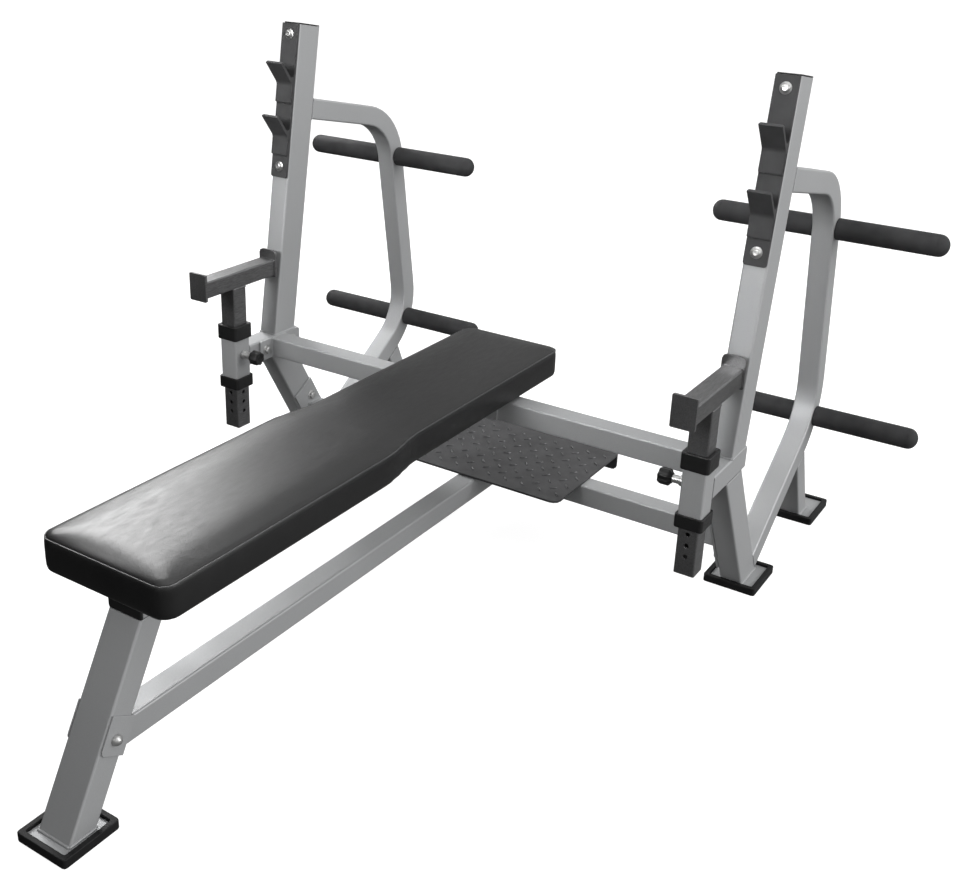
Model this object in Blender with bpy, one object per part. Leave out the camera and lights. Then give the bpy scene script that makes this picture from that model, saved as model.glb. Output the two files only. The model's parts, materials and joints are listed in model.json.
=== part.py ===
"""Flat olympic bench press with a fixed bar rack, plate storage pegs and two
height-adjustable spotter stands.

X runs across the bench, +Y from the foot end to the rack, +Z up. The origin is at the
centre of the footprint, on the floor. Units are metres. "left" is the -X side.
"""

import math

import bmesh
import bpy
from mathutils import Matrix, Vector

# ---------------------------------------------------------------- driving dimensions

GAP = 0.0003            # clearance between pieces that touch
TUBE = 0.0508           # square frame tube, and the short side of the rectangular one
TUBE_DEEP = 0.0762      # long side of the rectangular frame tube
WALL = 0.003            # frame tube wall
CORNER = 0.0045         # outside corner radius of a frame tube

FRAME_TOP = 0.394       # top of the arms, upper crossbar and pad rail
FRAME_LOW = FRAME_TOP - TUBE
SIDE_X = 0.6096         # middle plane of each side frame
INNER_X = SIDE_X - TUBE / 2
OUTER_X = SIDE_X + TUBE / 2

UPRIGHT_LEAN = math.radians(9)
UPRIGHT_FOOT_Y = 0.2841     # front face where it stands on the arm
UPRIGHT_TOP = 1.150         # height of the front top edge
UPRIGHT_CAP = 0.003

ARM_FRONT_Y = 0.1892
ARM_REAR_Y = 0.3715

LEG_LEAN = math.radians(30)
LEG_FOOT_Y = 0.4596         # front face of the side frame's leg at its foot plate

HOOP_START = (0.4545, 0.9423)   # centre line of the bent tube behind each upright, as (y, z)
HOOP_UPPER = (0.7968, 0.8738)
HOOP_LOWER = (0.8982, 0.2799)
HOOP_END = (0.5300, 0.0349)
HOOP_RADIUS = 0.155

REAR_LEG_LEAN = math.radians(25)
REAR_LEG_FOOT_Y = 0.8655

FRONT_LEG_LEAN = math.radians(29.2)
FRONT_LEG_FOOT_Y = -0.9585

BOOT_HEIGHT = 0.018
BOOT_RIM = 0.011
BOOT_FLOOR = 0.006
PLATE_THICK = 0.006
FOOT_TOP = BOOT_FLOOR + PLATE_THICK + 2 * GAP       # where the legs' ends stand
FRONT_BOOT = (-0.058, 0.058, -0.9865, -0.8685)      # x from, x to, y from, y to
SIDE_FRONT_BOOT = (0.5486, 0.6706, 0.4448, 0.5770)
SIDE_REAR_BOOT = (0.5486, 0.6706, 0.8505, 0.9865)

UPPER_BAR_Y = 0.2655        # front face of the upper crossbar
LOWER_BAR_Y = 0.4055        # front face of the lower crossbar
LOWER_BAR_TOP = 0.167       # also the top of the spine
FLANGE = 0.006              # thickness of the bolted end plates
UPPER_FLANGE_Y = (0.2215, 0.3715)
LOWER_FLANGE_HALF = 0.089   # half its length, measured along the leg

PLATFORM_X = 0.243
PLATFORM_Y = (0.2855, 0.6065)
PLATFORM_THICK = 0.005
PLATFORM_APRON = 0.129      # height of the rear apron's lower edge

RAIL_FRONT_Y = -0.7685
CAP_THICK = 0.005
RAIL_FLANGE_X = 0.090
CROSS_PLATE = (0.110, 0.050, 0.003)     # half length, width and thickness of a pad cross plate
CROSS_PLATE_YS = (-0.560, 0.120)

PAD_FRONT_Y = -0.8185
PAD_REAR_Y = 0.4785
PAD_WIDE = 0.145            # half widths of the seat part and of the head part
PAD_NARROW = 0.127
PAD_SHOULDER = (-0.245, -0.105)     # where the width changes, along Y
PAD_BOTTOM = 0.400
PAD_TOP = 0.468
PAD_CORNER = 0.028
BOARD_THICK = 0.012
BOARD_INSET = 0.009

PEG_RADIUS = 0.025
PEG_BAR_RADIUS = 0.0125
PEG_TIPS = (0.340, 0.879)   # inner and outer ends, across the bench
PEG_DOME = 0.022            # depth of the rounded end
PEG_UPPER = (0.8155, 0.768)
PEG_LOWER = (0.8715, 0.286)

STAND_Y = 0.1635            # axis of each spotter stand
STAND_TUBE_Z = (0.303, 0.443)
COLLAR_OUTER = 0.0612
COLLAR_SKIRT = TUBE + 0.0006
POST = 0.0440
POST_WALL = 0.0025
POST_CORNER = 0.003
POST_BOTTOM = 0.185
POST_LIP = POST + 0.0006
UPPER_COLLAR_Z = (0.419, 0.455)
LOWER_COLLAR_Z = (0.291, 0.320)
CATCH_WIDTH = 0.0444
CATCH_Y = (0.0500, 0.2915)
CATCH_Z = (0.550, 0.591)
PIN_Z = 0.379
PIN_PITCH = 0.0254
PIN_HOLES = range(-6, 3)    # hole positions on the post, in pitches from the pin
PIN_HOLE_RADIUS = 0.005
PIN_RADIUS = 0.004

RACK_LENGTH = 0.368
RACK_PLATE = 0.0055
RACK_WIDTH = 0.049
HOOK_BENDS = (-0.141, -0.267)       # where each lip leaves the plate, down from the upright's top
HOOK_LEG = 0.045                    # length of the hook's leg below the bend
HOOK_LIP = 0.064
HOOK_ANGLE = math.radians(46)
HOOK_THICK = 0.0055
LIP_THICK = 0.007

SADDLE_LOW = 0.1455         # heights of the saddle's two ends, on the leg's front face
SADDLE_HIGH = 0.205
SADDLE_THICK = 0.003
SADDLE_SETBACK = 0.002      # from the leg's front face to the saddle's front edges
SADDLE_CORNER = 0.009
SPINE_BOLT_Z = 0.158

# ---------------------------------------------------------------- scene and materials

for old in list(bpy.data.objects):
    bpy.data.objects.remove(old, do_unlink=True)


def material(name, colour, roughness, metallic=0.0):
    made = bpy.data.materials.new(name)
    made.use_nodes = True
    shader = made.node_tree.nodes["Principled BSDF"]
    shader.inputs["Base Color"].default_value = (*colour, 1)
    shader.inputs["Roughness"].default_value = roughness
    shader.inputs["Metallic"].default_value = metallic
    return made


SILVER = material("silver_powder_coat", (0.46, 0.47, 0.48), 0.42, 0.35)
DARK = material("dark_steel", (0.13, 0.13, 0.135), 0.38, 0.7)
BLACK_STEEL = material("black_coated_steel", (0.045, 0.045, 0.047), 0.5, 0.2)
RUBBER = material("black_rubber", (0.018, 0.018, 0.019), 0.75)
PLASTIC = material("black_plastic", (0.014, 0.014, 0.015), 0.45)
VINYL = material("black_vinyl", (0.02, 0.02, 0.021), 0.42)
BOARD = material("plywood_board", (0.30, 0.20, 0.12), 0.8)
ZINC = material("zinc_plate", (0.72, 0.72, 0.70), 0.28, 0.9)
CHEQUER = material("chequer_plate", (0.06, 0.06, 0.062), 0.5, 0.3)

# ---------------------------------------------------------------- geometry helpers


def side_name(sign):
    return "right" if sign > 0 else "left"


def at(x, yz):
    return Vector((x, yz[0], yz[1]))


def filleted(points, radius, steps, closed=True):
    """Round the corners of a polygon or path, two or three dimensions alike."""
    radii = radius if isinstance(radius, (list, tuple)) else [radius] * len(points)
    done = []
    for i, corner in enumerate(points):
        open_end = not closed and i in (0, len(points) - 1)
        if open_end or radii[i] == 0:
            done.append(corner.copy())
            continue
        back = (points[i - 1] - corner).normalized()
        ahead = (points[(i + 1) % len(points)] - corner).normalized()
        half = back.angle(ahead) / 2
        centre = corner + (back + ahead).normalized() * (radii[i] / math.sin(half))
        from_centre = corner + back * (radii[i] / math.tan(half)) - centre
        to_centre = corner + ahead * (radii[i] / math.tan(half)) - centre
        turn = math.pi - 2 * half
        for step in range(steps + 1):
            share = step / steps
            arm = from_centre * math.sin((1 - share) * turn) + to_centre * math.sin(share * turn)
            done.append(centre + arm / math.sin(turn))
    return done


def rectangle(width, height, radius=CORNER, steps=3):
    """A rounded rectangle about the origin, as 2D points."""
    u, v = width / 2, height / 2
    corners = [Vector(p) for p in ((-u, -v), (u, -v), (u, v), (-u, v))]
    return filleted(corners, radius, steps)


def to_plane(point, direction, plane):
    """Move a point along a direction until it lies on a plane given as (point, normal)."""
    origin, normal = plane
    return point + direction * ((origin - point).dot(normal) / direction.dot(normal))


def finish_object(name, bm, finish, smooth_degrees=30):
    bmesh.ops.recalc_face_normals(bm, faces=bm.faces)
    mesh = bpy.data.meshes.new(name)
    bm.to_mesh(mesh)
    bm.free()
    mesh.materials.append(finish)
    mesh.shade_smooth()
    mesh.set_sharp_from_angle(angle=math.radians(smooth_degrees))
    made = bpy.data.objects.new(name, mesh)
    bpy.context.collection.objects.link(made)
    return made


def skin(name, loops, finish, ring=False):
    """Join loops of equally many points into one closed body.

    With ring=True the last loop joins the first, as in a tube; otherwise both ends are capped.
    """
    bm = bmesh.new()
    rows = [[bm.verts.new(p) for p in loop] for loop in loops]
    pairs = list(zip(rows, rows[1:]))
    if ring:
        pairs.append((rows[-1], rows[0]))
    else:
        bm.faces.new(rows[0])
        bm.faces.new(rows[-1])
    for first, second in pairs:
        for i in range(len(first)):
            j = (i + 1) % len(first)
            bm.faces.new((first[i], first[j], second[j], second[i]))
    return finish_object(name, bm, finish)


def swept_loops(section, path, side, start=None, end=None):
    """Place a 2D section along a path; u runs along side, v across it in the path's plane."""
    loops = []
    last = len(path) - 1
    for i, centre in enumerate(path):
        before = (centre - path[max(i - 1, 0)]).normalized()
        after = (path[min(i + 1, last)] - centre).normalized()
        along = (before + after).normalized()
        across = along.cross(side).normalized()
        loop = [centre + side * p.x + across * p.y for p in section]
        if i == 0 and start:
            loop = [to_plane(p, along, start) for p in loop]
        if i == last and end:
            loop = [to_plane(p, along, end) for p in loop]
        loops.append(loop)
    return loops


def tube(name, path, side, width, height, finish=SILVER, wall=WALL, start=None, end=None):
    """A hollow rectangular tube, open at both ends, along a path of 3D points."""
    outside = swept_loops(rectangle(width, height), path, side, start, end)
    bore = rectangle(width - 2 * wall, height - 2 * wall, CORNER - wall)
    inside = swept_loops(bore, path, side, start, end)
    return skin(name, outside + inside[::-1], finish, ring=True)


def bar(name, section, path, side, finish, start=None, end=None):
    return skin(name, swept_loops(section, path, side, start, end), finish)


def slab(name, outline, axis, low, high, finish):
    """Extrude a 2D outline along a world axis; the outline is in the other two, in X, Y, Z order."""
    def place(point, level):
        parts = [point.x, point.y]
        parts.insert("XYZ".index(axis), level)
        return Vector(parts)

    return skin(name, [[place(p, low) for p in outline], [place(p, high) for p in outline]], finish)


def box_outline(u_low, u_high, v_low, v_high, radius=0, steps=3):
    corners = [Vector(p) for p in
               ((u_low, v_low), (u_high, v_low), (u_high, v_high), (u_low, v_high))]
    return filleted(corners, radius, steps)


def turned(name, profile, yz, sign, finish, sides=16, ring=False):
    """Turn a profile of (x, radius) about an axis along X; sign mirrors it to that side."""
    bm = bmesh.new()
    rows = []
    for x, radius in profile:
        if radius == 0:
            rows.append([bm.verts.new(at(sign * x, yz))])
            continue
        row = []
        for i in range(sides):
            angle = 2 * math.pi * i / sides
            offset = Vector((0, math.cos(angle), math.sin(angle))) * radius
            row.append(bm.verts.new(at(sign * x, yz) + offset))
        rows.append(row)
    pairs = list(zip(rows, rows[1:]))
    if ring:
        pairs.append((rows[-1], rows[0]))
    for first, second in pairs:
        for i in range(sides):
            j = (i + 1) % sides
            corners = [first[i % len(first)], first[j % len(first)],
                       second[j % len(second)], second[i % len(second)]]
            bm.faces.new(list(dict.fromkeys(corners)))
    return finish_object(name, bm, finish)


def combine(target, other, operation):
    """Join another object to the target, or cut the target with it, and hide the other."""
    other.hide_render = True
    other.display_type = "WIRE"
    change = target.modifiers.new(other.name, "BOOLEAN")
    change.operation = operation
    change.solver = "EXACT"
    change.object = other


def cylinder_cutter(name, centre, direction, radius, length, sides=12):
    bm = bmesh.new()
    bmesh.ops.create_cone(bm, cap_ends=True, segments=sides, radius1=radius, radius2=radius, depth=length)
    turn = Vector((0, 0, 1)).rotation_difference(direction).to_matrix().to_4x4()
    bmesh.ops.transform(bm, matrix=turn, verts=bm.verts)
    bmesh.ops.translate(bm, vec=centre, verts=bm.verts)
    return finish_object(name, bm, DARK)


def set_origin(made, point):
    """Move an object's origin without moving its surface."""
    made.data.transform(Matrix.Translation(-point))
    made.location = point


X_AXIS = Vector((1, 0, 0))
Z_AXIS = Vector((0, 0, 1))


def leaning(angle, back=1):
    """Unit vectors up a leaning tube and from its front face to its rear face."""
    up = Vector((0, back * math.sin(angle), math.cos(angle)))
    rear = Vector((0, math.cos(angle), -back * math.sin(angle)))
    return up, rear


def level(height):
    return Vector((0, 0, height)), Z_AXIS


# ---------------------------------------------------------------- side frames

UPRIGHT_UP, UPRIGHT_REAR = leaning(UPRIGHT_LEAN)
UPRIGHT_LENGTH = (UPRIGHT_TOP - FRAME_TOP) / math.cos(UPRIGHT_LEAN)
LEG_UP, LEG_REAR = leaning(LEG_LEAN, -1)
REAR_LEG_UP, REAR_LEG_REAR = leaning(REAR_LEG_LEAN, -1)
FRONT_LEG_UP, FRONT_LEG_REAR = leaning(FRONT_LEG_LEAN)


def upright(sign):
    front_foot = Vector((sign * SIDE_X, UPRIGHT_FOOT_Y, FRAME_TOP))
    foot = front_foot + UPRIGHT_REAR * TUBE_DEEP / 2
    top = foot + UPRIGHT_UP * UPRIGHT_LENGTH
    tube(f"upright_{side_name(sign)}", [foot, top], X_AXIS, TUBE, TUBE_DEEP,
         start=level(FRAME_TOP + GAP))
    cap = [top + UPRIGHT_UP * GAP, top + UPRIGHT_UP * (GAP + UPRIGHT_CAP)]
    bar(f"upright_cap_{side_name(sign)}", rectangle(TUBE, TUBE_DEEP), cap, X_AXIS, PLASTIC)


def arm(sign):
    x, z = sign * SIDE_X, FRAME_TOP - TUBE / 2
    ends = [Vector((x, ARM_FRONT_Y, z)), Vector((x, ARM_REAR_Y, z))]
    tube(f"stand_arm_{side_name(sign)}", ends, X_AXIS, TUBE, TUBE)


def leg_rear_plane(x):
    front_foot = Vector((x, LEG_FOOT_Y, FOOT_TOP))
    return front_foot + LEG_REAR * (TUBE_DEEP + GAP), LEG_REAR


def leg(sign):
    front_foot = Vector((sign * SIDE_X, LEG_FOOT_Y, FOOT_TOP))
    foot = front_foot + LEG_REAR * TUBE_DEEP / 2
    top = to_plane(foot, LEG_UP, level(FRAME_LOW))
    tube(f"frame_leg_{side_name(sign)}", [foot, top], X_AXIS, TUBE, TUBE_DEEP,
         start=level(FOOT_TOP), end=level(FRAME_LOW - GAP))


def hoop(sign):
    """The bent tube that braces the upright to the foot and carries the plate pegs."""
    x = sign * SIDE_X
    corners = [at(x, p) for p in (HOOP_START, HOOP_UPPER, HOOP_LOWER, HOOP_END)]
    path = filleted(corners, HOOP_RADIUS, 9, closed=False)
    upright_rear = Vector((x, UPRIGHT_FOOT_Y, FRAME_TOP)) + UPRIGHT_REAR * (TUBE_DEEP + GAP)
    made = tube(f"rear_hoop_{side_name(sign)}", path, X_AXIS, TUBE, TUBE,
                start=(upright_rear, UPRIGHT_REAR), end=leg_rear_plane(x))
    for level_name, yz in (("upper", PEG_UPPER), ("lower", PEG_LOWER)):
        hole = cylinder_cutter(f"hole_{level_name}_{side_name(sign)}", at(x, yz), X_AXIS,
                               PEG_BAR_RADIUS + GAP, 2 * TUBE, 16)
        combine(made, hole, "DIFFERENCE")


def rear_leg(sign):
    x = sign * SIDE_X
    front_foot = Vector((x, REAR_LEG_FOOT_Y, FOOT_TOP))
    foot = front_foot + REAR_LEG_REAR * TUBE / 2
    lower, end = at(x, HOOP_LOWER), at(x, HOOP_END)
    slope = (end - lower).normalized()
    under = slope.cross(X_AXIS).normalized()
    if under.z > 0:
        under = -under
    underside = (lower + under * (TUBE / 2 + GAP), under)
    top = to_plane(foot, REAR_LEG_UP, underside)
    tube(f"rear_leg_{side_name(sign)}", [foot, top], X_AXIS, TUBE, TUBE,
         start=level(FOOT_TOP), end=underside)


def foot(name, box):
    """A steel foot plate lying in the recess of a rubber boot."""
    x_low, x_high, y_low, y_high = box
    outer = box_outline(x_low, x_high, y_low, y_high, 0.006, 2)
    recess = box_outline(x_low + BOOT_RIM, x_high - BOOT_RIM, y_low + BOOT_RIM, y_high - BOOT_RIM,
                         0.003, 2)
    inset = BOOT_RIM + GAP
    plate = box_outline(x_low + inset, x_high - inset, y_low + inset, y_high - inset, 0.003, 2)
    levels = ((outer, 0), (outer, BOOT_HEIGHT), (recess, BOOT_HEIGHT), (recess, BOOT_FLOOR))
    skin(f"{name}_boot", [[Vector((p.x, p.y, z)) for p in loop] for loop, z in levels], RUBBER)
    slab(f"{name}_plate", plate, "Z", BOOT_FLOOR + GAP, BOOT_FLOOR + GAP + PLATE_THICK, SILVER)


def mirrored_box(box, sign):
    x_low, x_high, y_low, y_high = box
    return (x_low, x_high, y_low, y_high) if sign > 0 else (-x_high, -x_low, y_low, y_high)


def peg(sign, level_name, yz):
    """A steel bar through the hoop, with a rubber sleeve on each side of it."""
    side = side_name(sign)
    inner_tip, outer_tip = PEG_TIPS
    bar_ends = (inner_tip + PEG_DOME, outer_tip - PEG_DOME)
    profile = [(bar_ends[0], 0), (bar_ends[0], PEG_BAR_RADIUS),
               (bar_ends[1], PEG_BAR_RADIUS), (bar_ends[1], 0)]
    turned(f"peg_bar_{level_name}_{side}", profile, yz, sign, DARK)
    for place, tip, mouth, out in (("inner", inner_tip, INNER_X - GAP, -1),
                                   ("outer", outer_tip, OUTER_X + GAP, 1)):
        bore_end = tip - out * (PEG_DOME - GAP)
        sleeve = [(bore_end, 0), (bore_end, PEG_BAR_RADIUS + GAP), (mouth, PEG_BAR_RADIUS + GAP),
                  (mouth, PEG_RADIUS)]
        sleeve += [(tip - out * PEG_DOME * (1 - math.sin(a)), PEG_RADIUS * math.cos(a))
                   for a in (0, math.pi / 8, math.pi / 4, math.pi * 3 / 8)]
        sleeve.append((tip, 0))
        turned(f"peg_sleeve_{level_name}_{place}_{side}", sleeve, yz, sign, RUBBER)


# ---------------------------------------------------------------- bar rack


def rack_plate(sign):
    """The bolted plate on the upright's front face, with its two welded bar hooks."""
    side = side_name(sign)
    x = sign * SIDE_X
    top = Vector((x, UPRIGHT_FOOT_Y, FRAME_TOP)) + UPRIGHT_UP * UPRIGHT_LENGTH

    def place(across, along, out):
        """Across the upright, up it from its top front edge, and out from its front face."""
        return top + X_AXIS * across + UPRIGHT_UP * along - UPRIGHT_REAR * (out + GAP)

    def plate(name, outline, inner, outer):
        return skin(name, [[place(p.x, p.y, out) for p in outline] for out in (inner, outer)], BLACK_STEEL)

    half = RACK_WIDTH / 2
    made = plate(f"rack_plate_{side}", box_outline(-half, half, -RACK_LENGTH, 0, [0.006, 0.006, 0.001, 0.001]),
                 0, RACK_PLATE)
    face = RACK_PLATE + HOOK_THICK
    lip = Vector((math.cos(HOOK_ANGLE), math.sin(HOOK_ANGLE)))
    lip_back = Vector((lip.y, -lip.x)) * LIP_THICK
    sunk = RACK_PLATE - 0.001
    for i, bend in enumerate(HOOK_BENDS):
        outer = Vector((bend, face))
        tip = outer + lip * HOOK_LIP
        tip_back = tip + lip_back
        saddle = tip_back - lip * ((tip_back.y - RACK_PLATE) / lip.y)
        corners = [Vector(p) for p in ((bend - HOOK_LEG, sunk), (bend - HOOK_LEG, face), outer, tip,
                                       tip_back, saddle, (saddle.x + 0.008, RACK_PLATE), (saddle.x + 0.008, sunk))]
        profile = filleted(corners, [0, 0.001, 0.014, 0.0015, 0.0015, 0.007, 0, 0], 3)
        loops = [[place(across, p.x, p.y) for p in profile] for across in (-half + 0.0005, half - 0.0005)]
        hook = skin(f"hook_{i}_{side}", loops, BLACK_STEEL)
        window = box_outline(-half, half, bend - HOOK_LEG - 0.001, tip_back.x, [0, 0, 0.006, 0.006])
        combine(hook, plate(f"hook_window_{i}_{side}", window, sunk - 0.001, 0.08), "INTERSECT")
        combine(made, hook, "UNION")


# ---------------------------------------------------------------- spotter stands


def stand(sign):
    """Sleeve tube, its two collars, the sliding catcher and its spring pin."""
    side = side_name(sign)
    x = sign * SIDE_X
    low, high = (Vector((x, STAND_Y, z)) for z in STAND_TUBE_Z)
    sleeve = tube(f"stand_sleeve_{side}", [low, high], X_AXIS, TUBE, TUBE)
    pin_hole = cylinder_cutter(f"pin_hole_{side}", Vector((sign * INNER_X, STAND_Y, PIN_Z)), X_AXIS,
                               PIN_RADIUS + GAP, 4 * WALL)
    combine(sleeve, pin_hole, "DIFFERENCE")
    collar(f"collar_upper_{side}", x, UPPER_COLLAR_Z[0], STAND_TUBE_Z[1] + GAP, UPPER_COLLAR_Z[1])
    collar(f"collar_lower_{side}", x, LOWER_COLLAR_Z[1], STAND_TUBE_Z[0] - GAP, LOWER_COLLAR_Z[0])
    catcher(sign)
    spring_pin(sign)


def collar(name, x, skirt_end, step, lip_end):
    """A plastic bush: a skirt round the sleeve tube, and a lip over its end that guides the post."""
    def loop(size, radius, z):
        return [Vector((x + p.x, STAND_Y + p.y, z)) for p in rectangle(size, size, radius)]

    loops = [loop(COLLAR_OUTER, 0.007, skirt_end), loop(COLLAR_OUTER, 0.007, lip_end),
             loop(POST_LIP, POST_CORNER, lip_end), loop(POST_LIP, POST_CORNER, step),
             loop(COLLAR_SKIRT, CORNER, step), loop(COLLAR_SKIRT, CORNER, skirt_end)]
    skin(name, loops, PLASTIC, ring=True)


def catcher(sign):
    """The T-shaped safety catcher: a post with pin holes, and a channel bar with two end plates."""
    side = side_name(sign)
    x = sign * SIDE_X
    middle = (CATCH_Z[0] + CATCH_Z[1]) / 2
    height = CATCH_Z[1] - CATCH_Z[0]
    bottom, top = Vector((x, STAND_Y, POST_BOTTOM)), Vector((x, STAND_Y, middle))
    made = bar(f"spotter_catcher_{side}", rectangle(POST, POST, POST_CORNER), [bottom, top], X_AXIS, DARK)
    beam_ends = [Vector((x, y, middle)) for y in CATCH_Y]
    beam = bar(f"beam_{side}", rectangle(CATCH_WIDTH, height, 0.003, 1), beam_ends, X_AXIS, DARK)
    combine(made, beam, "UNION")
    half = TUBE / 2
    for end_name, y, reach, z_low, z_high, rounding in (
            ("front", CATCH_Y[0], -FLANGE, 0.543, 0.610, 0.003),
            ("rear", CATCH_Y[1], FLANGE, 0.546, 0.614, 0.010)):
        outline = box_outline(x - half, x + half, z_low, z_high,
                              [0.003, 0.003, rounding, rounding], 2)
        span = sorted((y - math.copysign(0.0005, reach), y + reach))
        combine(made, slab(f"{end_name}_plate_{side}", outline, "Y", *span, DARK), "UNION")
    bore = POST - 2 * POST_WALL
    hollow_post = [Vector((x, STAND_Y, POST_BOTTOM - 0.01)), Vector((x, STAND_Y, middle))]
    combine(made, bar(f"post_bore_{side}", rectangle(bore, bore, 0.001, 1), hollow_post, X_AXIS, DARK),
            "DIFFERENCE")
    hollow_beam = [Vector((x, CATCH_Y[0] + 0.004, middle)), Vector((x, CATCH_Y[1] - 0.004, middle))]
    section = rectangle(CATCH_WIDTH - 2 * POST_WALL, height - 2 * POST_WALL, 0.0015, 1)
    combine(made, bar(f"beam_bore_{side}", section, hollow_beam, X_AXIS, DARK), "DIFFERENCE")
    for i in PIN_HOLES:
        z = PIN_Z + i * PIN_PITCH
        to_front = Vector((x, STAND_Y - POST / 2, z))
        to_inner = Vector((x - sign * POST / 2, STAND_Y, z))
        for way, centre, direction in (("front", to_front, Vector((0, 1, 0))),
                                       ("inner", to_inner, X_AXIS)):
            hole = cylinder_cutter(f"{way}_hole_{i}_{side}", centre, direction, PIN_HOLE_RADIUS,
                                   4 * POST_WALL, 8)
            combine(made, hole, "DIFFERENCE")
    set_origin(made, Vector((x, STAND_Y, PIN_Z)))


def spring_pin(sign):
    """A barrel on the sleeve tube, and the knob whose plunger slides through it."""
    side = side_name(sign)
    yz = (STAND_Y, PIN_Z)
    seat, nose = INNER_X - GAP, INNER_X - 0.026
    bore = PIN_RADIUS + GAP
    barrel = [(seat, bore), (seat, 0.011), (seat - 0.010, 0.011), (seat - 0.010, 0.0085),
              (nose, 0.0085), (nose, bore)]
    turned(f"pin_barrel_{side}", barrel, yz, sign, ZINC, sides=12, ring=True)
    knob_seat, knob_end = nose - GAP, nose - 0.029
    tip = SIDE_X - POST / 2 - 0.0004
    knob = [(knob_end, 0), (knob_end, 0.011), (knob_end + 0.004, 0.0165), (knob_seat - 0.006, 0.018),
            (knob_seat, 0.013), (knob_seat, PIN_RADIUS), (tip, PIN_RADIUS), (tip, 0)]
    made = turned(f"pin_knob_{side}", knob, yz, sign, PLASTIC, sides=16)
    set_origin(made, at(sign * knob_seat, yz))


# ---------------------------------------------------------------- cross members


def open_flanges(crossbar, ends):
    """Drill the drain hole in each end flange that opens the tube behind it."""
    middle = (ends[0] + ends[1]) / 2
    length = (ends[1] - ends[0]).length + 4 * FLANGE
    drain = cylinder_cutter(f"drain_{crossbar.name}", middle, X_AXIS, 0.012, length)
    combine(crossbar, drain, "DIFFERENCE")


def upper_crossbar():
    reach = INNER_X - GAP
    z = FRAME_TOP - TUBE / 2
    ends = [Vector((x, UPPER_BAR_Y + TUBE / 2, z)) for x in (-reach + FLANGE / 2, reach - FLANGE / 2)]
    made = tube("upper_crossbar", ends, Z_AXIS, TUBE - 0.001, TUBE)
    for sign in (-1, 1):
        outline = box_outline(*UPPER_FLANGE_Y, FRAME_LOW, FRAME_TOP, 0.006, 2)
        span = sorted((sign * (reach - FLANGE), sign * reach))
        combine(made, slab(f"upper_flange_{side_name(sign)}", outline, "X", *span, SILVER), "UNION")
    open_flanges(made, ends)


def lower_crossbar():
    reach = INNER_X - GAP
    z = LOWER_BAR_TOP - TUBE / 2
    ends = [Vector((x, LOWER_BAR_Y + TUBE / 2, z)) for x in (-reach + FLANGE / 2, reach - FLANGE / 2)]
    made = tube("lower_crossbar", ends, Z_AXIS, TUBE, TUBE)
    leg_middle = Vector((0, LEG_FOOT_Y, FOOT_TOP)) + LEG_REAR * TUBE_DEEP / 2
    centre = to_plane(leg_middle, LEG_UP, level(z))
    for sign in (-1, 1):
        away = Vector((sign * (reach - FLANGE / 2), 0, 0))
        plate_ends = [centre + away + LEG_UP * share * LOWER_FLANGE_HALF for share in (-1, 1)]
        plate = bar(f"lower_flange_{side_name(sign)}", rectangle(FLANGE, TUBE_DEEP - 0.002, 0.001, 1),
                    plate_ends, X_AXIS, SILVER)
        combine(made, plate, "UNION")
    open_flanges(made, ends)


def platform():
    """A chequer plate step on the lower crossbar, with a bent-down apron at its rear."""
    low = LOWER_BAR_TOP + GAP
    outline = box_outline(-PLATFORM_X, PLATFORM_X, *PLATFORM_Y, [0.020, 0.020, 0.003, 0.003], 3)
    made = slab("platform", outline, "Z", low, low + PLATFORM_THICK, CHEQUER)
    apron = box_outline(-PLATFORM_X + 0.001, PLATFORM_X - 0.001, PLATFORM_APRON,
                        low + PLATFORM_THICK / 2, [0.012, 0.012, 0, 0], 3)
    rear = PLATFORM_Y[1] - 0.0005
    combine(made, slab("platform_apron", apron, "Y", rear - 0.004, rear, CHEQUER), "UNION")


def spine():
    """The long tube from the front leg to the lower crossbar, with its bolted rear flange."""
    leg_rear = Vector((0, FRONT_LEG_FOOT_Y, FOOT_TOP)) + FRONT_LEG_REAR * (TUBE + SADDLE_THICK + 2 * GAP)
    z = LOWER_BAR_TOP - TUBE / 2
    rear_y = LOWER_BAR_Y - GAP
    ends = [Vector((0, leg_rear.y, z)), Vector((0, rear_y - FLANGE / 2, z))]
    made = tube("spine_tube", ends, X_AXIS, TUBE, TUBE - 0.001, start=(leg_rear, FRONT_LEG_REAR))
    outline = box_outline(-0.070, 0.070, z - TUBE / 2, z + TUBE / 2 - 0.0005, 0.006, 2)
    combine(made, slab("spine_flange", outline, "Y", rear_y - FLANGE, rear_y, SILVER), "UNION")


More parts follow.
